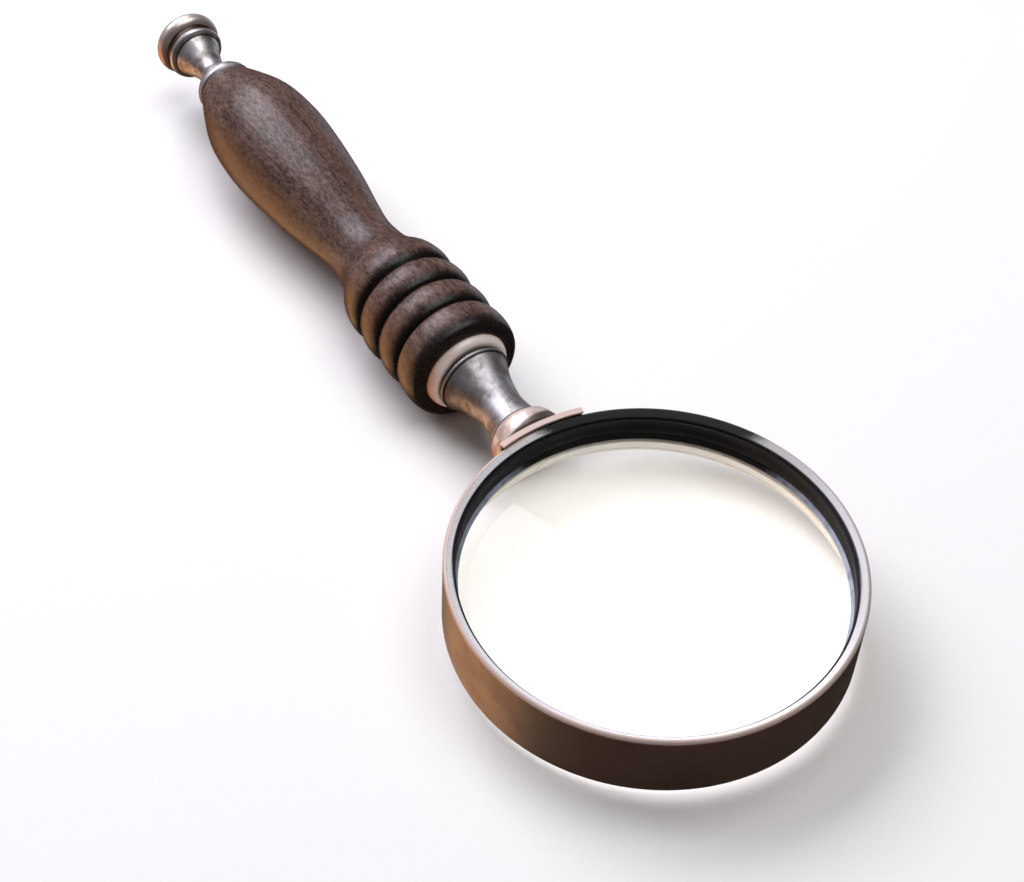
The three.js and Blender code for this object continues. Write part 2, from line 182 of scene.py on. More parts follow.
def eased(outline, radius=0.15, sharpest=24):
    """The closed outline with each corner rounded off. A gentle bend is left as it is."""
    points = [Vector(p) for p in outline]
    result = []
    for i, corner in enumerate(points):
        before, after = points[i - 1], points[(i + 1) % len(points)]
        arriving, leaving = corner - before, after - corner
        bend = abs(arriving.angle_signed(leaving, 0)) if arriving.length and leaving.length else 0
        if corner.x < ON_AXIS or math.degrees(bend) < sharpest:
            result.append(tuple(corner))
            continue
        reach = min(radius * math.tan(bend / 2), 0.4 * arriving.length, 0.4 * leaving.length)
        start = corner - arriving.normalized() * reach
        end = corner + leaving.normalized() * reach
        for step in range(CORNER_STEPS + 1):
            t = step / CORNER_STEPS
            result.append(tuple((1 - t) ** 2 * start + 2 * t * (1 - t) * corner + t**2 * end))
    return result


def held(outline, hold=0.12, longest=2.5):
    """Adds points beside the ends of long straight stretches, which keeps flat faces flat when
    they are shaded, and points along them, for the surface's small unevenness."""
    result = []
    for i, point in enumerate(outline):
        start, end = Vector(point), Vector(outline[(i + 1) % len(outline)])
        length = (end - start).length
        result.append(tuple(start))
        if length < 5 * hold or start.x < ON_AXIS and end.x < ON_AXIS:
            continue
        parts = max(1, math.ceil((length - 2 * hold) / longest))
        for k in range(parts + 1):
            t = (hold + (length - 2 * hold) * k / parts) / length
            result.append(tuple(start.lerp(end, t)))
    return result


def grooved(outline, places):
    """Cuts shallow grooves into an outline. Each place is (radius, station, width, depth)."""
    points = np.array(outline)
    ahead, behind = np.roll(points, -1, axis=0), np.roll(points, 1, axis=0)
    along = ahead - behind
    area = np.sum(points[:, 0] * ahead[:, 1] - ahead[:, 0] * points[:, 1])
    inward = np.stack([-along[:, 1], along[:, 0]], axis=1) * np.sign(area)
    inward /= np.maximum(np.linalg.norm(inward, axis=1, keepdims=True), NO_LENGTH)
    for radius, station, width, depth in places:
        distance = np.hypot(points[:, 0] - radius, points[:, 1] - station)
        points = points + inward * (depth * np.exp(-((distance / width) ** 2)))[:, None]
    return [tuple(p) for p in points]


def dense(outline, spacing):
    """The closed outline with extra points, so that no stretch is longer than the spacing."""
    result = []
    for i, point in enumerate(outline):
        start, end = Vector(point), Vector(outline[(i + 1) % len(outline)])
        parts = max(1, math.ceil((end - start).length / spacing))
        result += [tuple(start.lerp(end, k / parts)) for k in range(parts)]
    return result


def crests(outline, reach):
    """For each point of a closed outline, how far it stands out, from -1 in a sharp hollow to 1
    on a sharp edge, judged against the points this far before and after it."""
    points = np.array(outline)
    closed = np.vstack([points, points[:1]])
    lengths = np.concatenate([[0], np.cumsum(np.linalg.norm(np.diff(closed, axis=0), axis=1))])
    total = lengths[-1]

    def at(distance):
        distance = np.mod(distance, total)
        return np.stack([np.interp(distance, lengths, closed[:, k]) for k in (0, 1)], axis=1)

    here = lengths[:-1]
    before, after = at(here - reach), at(here + reach)
    along = after - before
    area = np.sum(closed[:-1, 0] * closed[1:, 1] - closed[1:, 0] * closed[:-1, 1])
    outward = np.stack([along[:, 1], -along[:, 0]], axis=1) * np.sign(area)
    outward /= np.maximum(np.linalg.norm(outward, axis=1, keepdims=True), NO_LENGTH)
    rise = np.sum((points - (before + after) / 2) * outward, axis=1)
    return np.clip(rise / (0.5 * reach), -1, 1)


# ---- Meshes -------------------------------------------------------------------------------


def closed_mesh(vertices, faces, crest):
    """A closed mesh in the design frame, in millimetres, with its faces turned outward."""
    mesh = bpy.data.meshes.new("closed")
    mesh.from_pydata(vertices, [], faces)
    mesh.attributes.new("crest", "FLOAT", "POINT").data.foreach_set("value", crest)
    shape = bmesh.new()
    shape.from_mesh(mesh)
    bmesh.ops.recalc_face_normals(shape, faces=shape.faces)
    shape.to_mesh(mesh)
    shape.free()
    return mesh


def cut_away(mesh, tool):
    """The mesh with another closed mesh taken out of it."""
    whole = bpy.data.objects.new("whole", mesh)
    cutter = bpy.data.objects.new("cutter", tool)
    for thing in (whole, cutter):
        bpy.context.scene.collection.objects.link(thing)
    cut = whole.modifiers.new("cut", "BOOLEAN")
    cut.operation = "DIFFERENCE"
    cut.object = cutter
    evaluated = whole.evaluated_get(bpy.context.evaluated_depsgraph_get())
    result = bpy.data.meshes.new_from_object(evaluated)
    for thing in (whole, cutter):
        bpy.data.objects.remove(thing)
    shape = bmesh.new()
    shape.from_mesh(result)
    bmesh.ops.remove_doubles(shape, verts=shape.verts, dist=SAME_POINT)
    shape.to_mesh(result)
    shape.free()
    return result


def add_piece(name, mesh, material, replaces):
    """Makes one piece of the object, in place of its CAD node. The mesh comes in the design frame
    and is moved to where the CAD node is. Its points keep their place in the design frame."""
    mesh.name = name
    place = np.zeros(len(mesh.vertices) * 3, np.float32)
    mesh.vertices.foreach_get("co", place)
    mesh.attributes.new("place", "FLOAT_VECTOR", "POINT").data.foreach_set("vector", place)
    mesh.transform(DESIGN_TO_ROW @ Matrix.Scale(MM, 4))
    mesh.shade_smooth()
    mesh.set_sharp_from_angle(angle=math.radians(SHARPEST_BEND))
    mesh.materials.clear()
    mesh.materials.append(material)
    piece = bpy.data.objects.new(name, mesh)
    bpy.context.scene.collection.objects.link(piece)
    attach(piece, "root")
    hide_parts(replaces)


def turned(outline, axis, span=None, sides=None, reach=0.5):
    """A mesh turned about the rim's or the handle's axis from a closed outline of (radius,
    station). span is (start, end) in degrees round the rim for a piece that isn't a full turn.
    reach is how far along the outline its edges and hollows are judged."""
    sides = sides or (RIM_SIDES if axis == "rim" else HANDLE_SIDES)
    crest_along = crests(outline, reach)
    if span:
        start, end = span
        steps = max(2, round(sides * (end - start) / 360))
        angles = np.radians(np.linspace(start, end, steps + 1))
    else:
        angles = np.radians(np.arange(sides) * 360 / sides)
    vertices, crest, columns = [], [], []
    poles = {}
    for angle in angles:
        column = []
        for i, (radius, station) in enumerate(outline):
            on_axis = radius < ON_AXIS
            if on_axis and i in poles:
                column.append(poles[i])
                continue
            if on_axis:
                poles[i] = len(vertices)
            column.append(len(vertices))
            across, aside = radius * math.cos(angle), radius * math.sin(angle)
            vertices.append((across, aside, station) if axis == "rim" else (across, station, aside))
            crest.append(crest_along[i])
        columns.append(column)
    faces = []
    turns = len(angles) - 1 if span else len(angles)
    for k in range(turns):
        here, there = columns[k], columns[(k + 1) % len(columns)]
        for i in range(len(outline)):
            j = (i + 1) % len(outline)
            corners = list(dict.fromkeys([here[i], here[j], there[j], there[i]]))
            if len(corners) > 2:
                faces.append(corners)
    if span:
        faces += [columns[0], columns[-1]]
    return closed_mesh(vertices, faces, crest)


# ---- Material building blocks -------------------------------------------------------------


class Nodes:
    """The node tree of a material or a world, with short names for the nodes that are used often."""

    def __init__(self, owner, on_cad_mesh=False):
        owner.use_nodes = True
        self.owner = owner
        self.tree = owner.node_tree
        self.on_cad_mesh = on_cad_mesh

    def node(self, kind, **settings):
        made = self.tree.nodes.new(kind)
        for key, value in settings.items():
            setattr(made, key, value)
        return made

    def feed(self, socket, value):
        """Links an output to a socket, or sets the socket to a plain value."""
        if isinstance(value, bpy.types.NodeSocket):
            self.tree.links.new(value, socket)
        elif value is not None:
            socket.default_value = value

    def place(self, stretch=(1, 1, 1)):
        """The point in millimetres, in the design frame on a new piece and in the row's frame on a
        CAD mesh. A stretch below 1 along an axis draws a pattern out along it."""
        if self.on_cad_mesh:
            source = self.node("ShaderNodeTexCoord").outputs["Object"]
            stretch = [s / MM for s in stretch]
        else:
            source = self.node("ShaderNodeAttribute", attribute_name="place").outputs["Vector"]
        mapping = self.node("ShaderNodeMapping")
        mapping.inputs["Scale"].default_value = stretch
        self.feed(mapping.inputs["Vector"], source)
        return mapping.outputs["Vector"]

    def axes(self, vector):
        """The x, y and z of a point."""
        made = self.node("ShaderNodeSeparateXYZ")
        self.feed(made.inputs[0], vector)
        return made.outputs

    def dot(self, vector, direction):
        made = self.node("ShaderNodeVectorMath", operation="DOT_PRODUCT")
        self.feed(made.inputs[0], vector)
        made.inputs[1].default_value = Vector(direction).normalized()
        return made.outputs["Value"]

    def length(self, vector):
        made = self.node("ShaderNodeVectorMath", operation="LENGTH")
        self.feed(made.inputs[0], vector)
        return made.outputs["Value"]

    def noise(self, place, scale, detail=4, roughness=0.55, distortion=0):
        made = self.node("ShaderNodeTexNoise")
        settings = {"Scale": scale, "Detail": detail, "Roughness": roughness, "Distortion": distortion}
        for name, value in settings.items():
            made.inputs[name].default_value = value
        self.feed(made.inputs["Vector"], place)
        return made.outputs["Fac"]

    def calc(self, operation, a, b=None):
        made = self.node("ShaderNodeMath", operation=operation)
        self.feed(made.inputs[0], a)
        self.feed(made.inputs[1], b)
        return made.outputs[0]

    def around_zero(self, value, size):
        """A pattern that goes from 0 to 1, made to go from minus to plus half of this size."""
        return self.calc("MULTIPLY", self.calc("SUBTRACT", value, 0.5), size)

    def fade(self, value, start, end, low=0.0, high=1.0):
        """Goes smoothly from low to high as value goes from start to end."""
        made = self.node("ShaderNodeMapRange", interpolation_type="SMOOTHSTEP")
        for name, number in zip(("From Min", "From Max", "To Min", "To Max"), (start, end, low, high)):
            made.inputs[name].default_value = number
        self.feed(made.inputs["Value"], value)
        return made.outputs["Result"]

    def blend(self, factor, a, b):
        """Colour a where the factor is 0, and colour b where it is 1."""
        made = self.node("ShaderNodeMix", data_type="RGBA")
        self.feed(made.inputs["Factor"], factor)
        for socket, value in ((made.inputs[6], a), (made.inputs[7], b)):
            self.feed(socket, (*value, 1) if isinstance(value, tuple) else value)
        return made.outputs[2]

    def crest(self):
        """Above 0 on an edge that stands out, and below 0 in a hollow."""
        return self.node("ShaderNodeAttribute", attribute_name="crest").outputs["Fac"]

    def bump(self, height, distance_mm, under=None):
        made = self.node("ShaderNodeBump")
        made.inputs["Distance"].default_value = distance_mm * MM
        self.feed(made.inputs["Height"], height)
        self.feed(made.inputs["Normal"], under)
        return made.outputs["Normal"]

    def finish(self, color, roughness, normal=None, **others):
        """Feeds the surface's colour, roughness and normal, and its other inputs by name."""
        shader = self.tree.nodes["Principled BSDF"]
        self.feed(shader.inputs["Base Color"], color)
        self.feed(shader.inputs["Roughness"], roughness)
        self.feed(shader.inputs["Normal"], normal)
        for name, value in others.items():
            self.feed(shader.inputs[name.replace("_", " ")], value)
        return self.owner


def new_material(name, on_cad_mesh=False):
    return Nodes(bpy.data.materials.new(name), on_cad_mesh)


# ---- Materials ----------------------------------------------------------------------------

# painted dark reflection, for the lip and the clamp ring near the handle
PAINTED_DARK_REFLECTION = (0.012, 0.012, 0.013)
DARK_HOLLOW = (0.03, 0.018, 0.014)
# painted shade, for the wood's hollows, front end and bead flanks
PAINTED_SHADE = (0.006, 0.004, 0.003)
TOWARD_DARK_REFLECTION = (0.54, 0.84, 0)  # from the rim's middle to the stretch beside the handle where a dark reflection is painted
TOWARD_WARM_LIGHT = (-0.95, 0.3, 0)  # from the rim's middle to the side where warm light is painted
# the way toward the warm light that is painted on undersides
LOW_ON_THE_LEFT = (-0.88, 0, -0.47)


def aged_metal(
    name,
    bright,
    dull,
    roughness,
    hollow=DARK_HOLLOW,
    patches=0.14,
    metallic=1.0,
    rubbed=None,
    hollow_dark=None,
    warm_light_tint=None,
):
    """Old plated metal: bright on its edges, dull in cloudy patches, dark in its hollows, with
    fine polishing marks round the handle. patches is how fine the clouds are. rubbed is (station,
    colour) for a piece that is paler from there on. The last two give the station up to which
    shade is painted in the corner at its front, and the colour of warm light painted on its
    underside on the left."""
    underside = (3, 8.5)  # millimetres from the axis, where the painted warm light begins and is full
    n = new_material(name)
    place = n.place()
    clouds = n.noise(place, patches, detail=6, roughness=0.65)
    specks = n.noise(place, 1.7, detail=3, roughness=0.7)
    marks = n.noise(n.place((0.15, 1, 0.15)), 4.5, detail=3)
    crest = n.calc("ADD", n.crest(), n.around_zero(specks, 0.2))
    color = n.blend(n.fade(clouds, 0.4, 0.62), bright, dull)
    color = n.blend(n.fade(specks, 0.58, 0.78, 0, 0.4), color, dull)
    if rubbed:
        station, pale = rubbed
        color = n.blend(n.fade(n.axes(place)["Y"], station - 0.3, station + 0.3), color, pale)
    # Painted warm light on the underside on the left.
    if warm_light_tint:
        below = n.calc("ADD", n.dot(place, LOW_ON_THE_LEFT), n.around_zero(clouds, 4))
        color = n.blend(n.fade(below, *underside), color, warm_light_tint)
    color = n.blend(n.fade(crest, -0.08, -0.4), color, hollow)
    color = n.blend(n.fade(crest, 0.12, 0.5, 0, 0.8), color, bright)
    # Painted shade in the corner at the front of the piece.
    if hollow_dark:
        corner = n.dot(place, (-0.15, 1, 0))
        color = n.blend(n.fade(corner, hollow_dark + 1, hollow_dark, 0, 0.9), color, hollow)
    uneven = n.fade(clouds, 0.35, 0.7, roughness - 0.04, roughness + 0.08)
    rough = n.calc("ADD", uneven, n.around_zero(marks, 0.1))
    normal = n.bump(specks, 0.01, under=n.bump(marks, 0.003))
    return n.finish(color, rough, normal, Metallic=metallic)


def antique_copper():
    """The rim's copper: brown on its wall, with a paler warm patch painted on the left side as the
    warm light from there. Its lip is rubbed silvery, apart from a dark reflection painted on a
    stretch near the handle, and its bottom lip is lacquered ivory inside."""
    brown, warm_lit_copper = (0.22, 0.13, 0.09), (0.4, 0.31, 0.23)
    dark_cloud, dark_speck = (0.14, 0.08, 0.056), (0.035, 0.02, 0.014)
    reddish_edge = (0.4, 0.19, 0.135)
    silver, cool_silver, gray_speck = (0.97, 0.93, 0.95), (0.88, 0.88, 0.95), (0.5, 0.45, 0.45)
    pinkish_edge, right_side_gray = (0.55, 0.43, 0.38), (0.42, 0.42, 0.42)
    ivory, hollow_dark = (0.84, 0.81, 0.73), (0.02, 0.013, 0.01)

    # Where each colour begins and is full, in millimetres from the rim's middle
    warm_lit_side, dark_reflection_stretch, dark_reflection_inside = (20, 43), (32.5, 35.5), (-12, 4)
    gray_side = (8, 30)
    under_lip, on_crown, on_bottom_lip = (6.8, 7.2), (7.4, 7.65), (-6.5, -7)
    outer_edge, inside_wall = (41.1, 41.35), (41.2, 41)
    inner_edge, lacquered = (40.35, 40.15), (40.6, 40.3)

    n = new_material("antique_copper")
    place = n.place()
    axes = n.axes(place)
    clouds = n.noise(place, 0.06, detail=6, roughness=0.6)
    specks = n.noise(place, 1.3, detail=4, roughness=0.7)
    turning = n.noise(n.place((0.04, 0.04, 1)), 3.5, detail=4)
    radius = n.length(n.place((1, 1, 0)))
    height = n.calc("ADD", axes["Z"], n.around_zero(specks, 0.35))

    # The wall
    # Painted warm light: the wall is paler and warmer on its left side.
    side = n.calc("ADD", n.dot(place, TOWARD_WARM_LIGHT), n.around_zero(clouds, 14))
    color = n.blend(n.fade(side, *warm_lit_side), brown, warm_lit_copper)
    color = n.blend(n.fade(clouds, 0.45, 0.7, 0, 0.5), color, dark_cloud)
    color = n.blend(n.fade(specks, 0.56, 0.8, 0, 0.4), color, dark_speck)
    color = n.blend(n.fade(height, *under_lip, 0, 0.8), color, reddish_edge)

    # The top lip
    lip = n.blend(n.fade(clouds, 0.4, 0.6), silver, cool_silver)
    lip = n.blend(n.fade(specks, 0.5, 0.72, 0, 0.4), lip, gray_speck)
    lip = n.blend(n.fade(radius, *outer_edge), lip, pinkish_edge)
    # The lip is greyer toward the right.
    lip = n.blend(n.fade(axes["X"], *gray_side, 0, 0.7), lip, right_side_gray)
    # A dark reflection is painted on the lip near the handle, and on its inner edge there.
    toward_dark_reflection = n.dot(place, TOWARD_DARK_REFLECTION)
    ragged = n.calc("ADD", toward_dark_reflection, n.around_zero(specks, 2))
    lip = n.blend(n.fade(ragged, *dark_reflection_stretch), lip, PAINTED_DARK_REFLECTION)
    on_lip = n.calc("MAXIMUM", n.fade(height, *on_crown), n.fade(radius, *inside_wall))
    color = n.blend(on_lip, color, lip)
    inside = n.calc("MULTIPLY", n.fade(radius, *inner_edge), n.fade(toward_dark_reflection, *dark_reflection_inside))
    color = n.blend(inside, color, PAINTED_DARK_REFLECTION)

    # The bottom lip's inside, and every hollow darkened
    lacquer = n.calc("MULTIPLY", n.fade(axes["Z"], *on_bottom_lip), n.fade(radius, *lacquered))
    color = n.blend(lacquer, color, ivory)
    color = n.blend(n.fade(n.crest(), -0.1, -0.4, 0, 0.9), color, hollow_dark)

    rough = n.calc("ADD", n.fade(clouds, 0.3, 0.7, 0.34, 0.44), n.around_zero(turning, 0.12))
    rough = n.calc("ADD", rough, n.calc("MULTIPLY", on_lip, 0.12))
    normal = n.bump(specks, 0.008, under=n.bump(turning, 0.004))
    metallic = n.calc("MULTIPLY", n.fade(on_lip, 0, 1, 0.75, 0.15), n.fade(lacquer, 0, 1, 1, 0))
    return n.finish(color, rough, normal, Metallic=metallic)


def rosewood():
    """Dark waxed rosewood, with its grain and pores drawn out along the handle. Shade is painted in
    its hollows, on its front end and on the side of each bead that faces the rim, and warm light
    on its underside on the left."""
    brown, dark_streak = (0.14, 0.077, 0.058), (0.046, 0.026, 0.021)
    light_band, dark_cloud = (0.16, 0.09, 0.066), (0.05, 0.028, 0.023)
    light_fleck, dark_fleck = (0.25, 0.16, 0.135), (0.034, 0.019, 0.016)
    warm_lit_red, pore_color = (0.13, 0.052, 0.016), (0.01, 0.006, 0.005)
    underside = (4, 10)  # millimetres from the axis, where the painted warm light begins and is full

    n = new_material("rosewood")
    place = n.place()
    station = n.axes(place)["Y"]
    streaks = n.noise(n.place((1, 0.07, 1)), 1.1, detail=6, roughness=0.68, distortion=0.5)
    bands = n.noise(n.place((1, 0.04, 1)), 0.2, detail=4, distortion=0.6)
    pores = n.noise(n.place((1, 0.1, 1)), 3.6, detail=3, roughness=0.7)
    clouds = n.noise(place, 0.09, detail=4)
    mottle = n.noise(n.place((1, 0.4, 1)), 1.5, detail=5, roughness=0.75)

    # The grain
    color = n.blend(n.fade(streaks, 0.36, 0.64), brown, dark_streak)
    color = n.blend(n.fade(bands, 0.44, 0.62, 0, 0.6), color, light_band)
    color = n.blend(n.fade(clouds, 0.42, 0.66, 0, 0.5), color, dark_cloud)
    color = n.blend(n.fade(mottle, 0.48, 0.66, 0, 0.5), color, light_fleck)
    color = n.blend(n.fade(mottle, 0.5, 0.34, 0, 0.5), color, dark_fleck)
    # Painted warm light: red on the underside on the left.
    color = n.blend(n.fade(n.dot(place, LOW_ON_THE_LEFT), *underside, 0, 0.9), color, warm_lit_red)
    pore = n.fade(pores, 0.56, 0.72)
    color = n.blend(n.calc("MULTIPLY", pore, 0.65), color, pore_color)

    # Painted shade in the hollows, on the front end and on the bead flanks that face the rim
    hollow = n.calc("ADD", n.crest(), n.around_zero(streaks, 0.12))
    on_beads = n.fade(station, BEADS_END - 4, BEADS_END, 1, 0.25)
    shaded_hollows = n.calc("MULTIPLY", n.fade(hollow, 0.12, -0.2, 0, 0.95), on_beads)
    color = n.blend(shaded_hollows, color, PAINTED_SHADE)
    pitches = n.calc("DIVIDE", n.calc("SUBTRACT", station, FIRST_GROOVE), BEAD_PITCH)
    flank = n.fade(n.calc("FRACT", pitches), 0.12, 0.4, 0.92, 0)
    flank = n.calc("MULTIPLY", flank, n.fade(station, BEADS_END - 5, BEADS_END - 3, 1, 0))
    front_end = n.fade(station, WOOD_FRONT + 1.2, WOOD_FRONT + 2.8, 0.9, 0)
    color = n.blend(n.calc("MAXIMUM", flank, front_end), color, PAINTED_SHADE)

    rough = n.calc("ADD", n.fade(mottle, 0.4, 0.6, 0.26, 0.34), n.calc("MULTIPLY", pore, 0.1))
    normal = n.bump(mottle, 0.02, under=n.bump(n.calc("MULTIPLY", pore, -1), 0.01))
    sheen = n.fade(mottle, 0.36, 0.62, 0.16, 0.38)
    return n.finish(color, rough, normal, Specular_IOR_Level=sheen)


def black_band():
    """Blackened spring strip, with a faint rolled grain round the rim and dusty edges."""
    black, dusty, worn_edge = (0.003, 0.0035, 0.004), (0.014, 0.015, 0.017), (0.02, 0.022, 0.025)
    n = new_material("black_band")
    rolled = n.noise(n.place((0.08, 0.08, 1)), 3.2, detail=4)
    dust = n.noise(n.place(), 2.6, detail=4, roughness=0.75)
    color = n.blend(n.fade(dust, 0.6, 0.8, 0, 0.5), black, dusty)
    color = n.blend(n.fade(n.crest(), 0.15, 0.5, 0, 0.7), color, worn_edge)
    rough = n.fade(rolled, 0.3, 0.7, 0.42, 0.6)
    return n.finish(color, rough, n.bump(rolled, 0.006), Specular_IOR_Level=0.12)


def lens_glass():
    """Clear glass with a faint smudge. Lamps shine through it as through an open ring."""
    glass, shadow = (0.99, 0.985, 0.97, 1), (0.96, 0.965, 0.955, 1)
    faint = (0.05, 0.05, 0.05, 1)  # a coated lens hardly mirrors the lamps
    n = new_material("lens_glass")
    smudge = n.noise(n.place(), 0.05, detail=3)
    rough = n.fade(smudge, 0.4, 0.8, 0.02, 0.05)
    n.finish(glass, rough, IOR=1.5, Transmission_Weight=1.0, Specular_Tint=faint)
    clear = n.node("ShaderNodeBsdfTransparent")
    clear.inputs["Color"].default_value = shadow
    ray = n.node("ShaderNodeLightPath")
    mixed = n.node("ShaderNodeMixShader")
    n.feed(mixed.inputs["Fac"], ray.outputs["Is Shadow Ray"])
    n.feed(mixed.inputs[1], n.tree.nodes["Principled BSDF"].outputs[0])
    n.feed(mixed.inputs[2], clear.outputs[0])
    n.feed(n.tree.nodes["Material Output"].inputs["Surface"], mixed.outputs[0])
    return n.owner


def satin(name, color, shade):
    """Pale enamel or silicone, slightly mottled."""
    n = new_material(name)
    mottle = n.noise(n.place(), 1.6, detail=4)
    rough = n.fade(mottle, 0.3, 0.7, 0.45, 0.6)
    return n.finish(n.blend(mottle, color, shade), rough, n.bump(mottle, 0.02))


def blued_steel():
    """The clamp ring's steel, turned round the rim, with a dark reflection painted near the handle, as
    on the lip.
    """
    pale_blue, dark_blue = (0.46, 0.52, 0.64), (0.3, 0.34, 0.42)
    dark_reflection_stretch = (24, 31)  # millimetres from the rim's middle
    n = new_material("dark_steel")
    rings = n.noise(n.place((0.05, 0.05, 1)), 4.0, detail=3)
    stains = n.noise(n.place(), 0.3, detail=5)
    color = n.blend(n.fade(stains, 0.45, 0.7), pale_blue, dark_blue)
    # A dark reflection is painted near the handle.
    handle_side = n.calc("ADD", n.dot(n.place(), TOWARD_DARK_REFLECTION), n.around_zero(stains, 6))
    color = n.blend(n.fade(handle_side, *dark_reflection_stretch), color, PAINTED_DARK_REFLECTION)
    rough = n.fade(rings, 0.3, 0.7, 0.34, 0.46)
    return n.finish(color, rough, n.bump(rings, 0.006), Metallic=0.5)


def machined(name, color, dark, roughness):
    """Turned metal with fine tool rings and a few stains, for the CAD shapes of the inside."""
    n = new_material(name, on_cad_mesh=True)
    rings = n.noise(n.place((0.06, 1, 0.06)), 4.0, detail=3)
    stains = n.noise(n.place(), 0.4, detail=5)
    tone = n.blend(n.fade(stains, 0.5, 0.75, 0, 0.6), color, dark)
    rough = n.fade(rings, 0.3, 0.7, roughness - 0.06, roughness + 0.08)
    return n.finish(tone, rough, n.bump(rings, 0.006), Metallic=1.0)


ANTIQUE_COPPER = antique_copper()
PALE_COPPER = aged_metal(
    "pale_copper",
    bright=(0.62, 0.49, 0.44),
    dull=(0.46, 0.32, 0.26),
    roughness=0.42,
    metallic=0.6,
)
FOOT_COPPER = aged_metal(
    "foot_copper",
    bright=(0.8, 0.68, 0.62),
    dull=(0.52, 0.38, 0.32),
    roughness=0.42,
    patches=0.35,
    metallic=0.5,
    # shade painted in the corner where the foot meets the saddle
    hollow_dark=44.7,
    # warm light painted on the underside on the left
    warm_light_tint=(0.42, 0.2, 0.12),
)
CUP_COPPER = aged_metal(
    "cup_copper",
    bright=(0.98, 0.87, 0.82),
    dull=(0.92, 0.72, 0.62),
    roughness=0.42,
    metallic=0.1,
    # warm light painted on the underside on the left
    warm_light_tint=(0.75, 0.4, 0.22),
)
SILVER = aged_metal(
    "aged_silver",
    bright=(0.45, 0.44, 0.46),
    dull=(0.24, 0.21, 0.195),
    roughness=0.5,
    patches=0.26,
)
DARK_BRONZE = aged_metal(
    "dark_bronze",
    bright=(0.04, 0.03, 0.025),
    dull=(0.015, 0.011, 0.009),
    roughness=0.44,
    metallic=0.5,
)
KNOB_METAL = aged_metal(
    "knob_metal",
    bright=(0.52, 0.5, 0.51),
    dull=(0.2, 0.165, 0.15),
    roughness=0.36,
    hollow=(0.07, 0.045, 0.035),
    patches=0.25,
    metallic=0.85,
    rubbed=(203.4, (0.75, 0.63, 0.58)),
    # warm light painted on the underside on the left
    warm_light_tint=(0.42, 0.2, 0.1),
)
ROSEWOOD = rosewood()
BLACK = black_band()
LENS = lens_glass()
GASKET = satin("gasket", (0.9, 0.88, 0.8), (0.84, 0.81, 0.72))
IVORY = satin("ivory_paint", (0.94, 0.92, 0.87), (0.9, 0.87, 0.8))
DARK_STEEL = blued_steel()
STEEL = machined("steel", (0.5, 0.51, 0.53), (0.3, 0.28, 0.26), 0.33)
BRASS = machined("brass", (0.66, 0.47, 0.22), (0.4, 0.26, 0.12), 0.34)

# ---- Lens end -----------------------------------------------------------------------------


def screw_hole():
    """The countersunk hole for the rim screw, as the solid that is cut away."""
    head, shank = 4.9, SCREW_RADIUS + GAP
    inside, sink_end, outside = 39.5, 42.15, 46
    outline = [(0, inside), (head, inside), (shank, sink_end), (shank, outside), (0, outside)]
    return turned(outline, "handle", sides=HOLE_SIDES)


def rim_band():
    crown, edge, chamfer = 0.7, 0.6, 0.3
    outline = [
        (BOTTOM_LIP_INNER + chamfer, -RIM_TOP),
        (RIM_RADIUS - edge, -RIM_TOP),
        (RIM_RADIUS, -RIM_TOP + edge),
        *arc((RIM_RADIUS - crown, RIM_TOP - crown), crown, 0, 90),
        (TOP_LIP_INNER, RIM_TOP - TOP_BEVEL_DROP),
        (TOP_LIP_INNER, RIM_TOP - TOP_LIP_DEPTH),
        (WALL_INNER, RIM_TOP - TOP_LIP_DEPTH),
        (WALL_INNER, -RIM_TOP + BOTTOM_LIP_THICKNESS),
        (BOTTOM_LIP_INNER, -RIM_TOP + BOTTOM_LIP_THICKNESS),
        (BOTTOM_LIP_INNER, -RIM_TOP + chamfer),
    ]
    outline = dense(eased(outline, radius=0.3), spacing=0.3)
    lip_line = (RIM_RADIUS, RIM_TOP - 1.2, 0.14, 0.07)
    foot_line = (RIM_RADIUS, -RIM_TOP + 1.5, 0.14, 0.06)
    mesh = cut_away(turned(grooved(outline, [lip_line, foot_line]), "rim"), screw_hole())
    add_piece("rim", mesh, ANTIQUE_COPPER, "rim_band")


def split_band(bottom, top):
    """A spring band inside the rim, split where the handle is."""
    outer = WALL_INNER - GAP
    inner = outer - BAND_THICKNESS
    outline = [(inner, bottom), (outer, bottom), (outer, top), (inner, top)]
    half_split = math.degrees(BAND_SPLIT / 2 / outer)
    return turned(held(eased(outline, 0.18)), "rim", span=(90 + half_split, 450 - half_split))


def lens():
    edge_angle = math.degrees(math.asin(LENS_RADIUS / LENS_CURVE_RADIUS))
    drop = math.sqrt(LENS_CURVE_RADIUS**2 - LENS_RADIUS**2)
    steps = 24
    bottom = arc((0, LENS_EDGE_BOTTOM + drop), LENS_CURVE_RADIUS, -90, -90 + edge_angle, steps)
    top = arc((0, LENS_EDGE_TOP - drop), LENS_CURVE_RADIUS, 90 - edge_angle, 90, steps)
    bottom[0] = (0, bottom[0][1])
    top[-1] = (0, top[-1][1])
    add_piece("lens_glass", turned(eased(bottom + top, 0.25), "rim"), LENS, "lens")


def lens_gasket():
    outer = WALL_INNER - GAP
    low = GASKET_TOP - GASKET_THICKNESS
    outline = [(GASKET_INNER, low), (outer, low), (outer, GASKET_TOP), (GASKET_INNER, GASKET_TOP)]
    add_piece("gasket_ring", turned(eased(outline, 0.2), "rim"), GASKET, "lens_gasket")


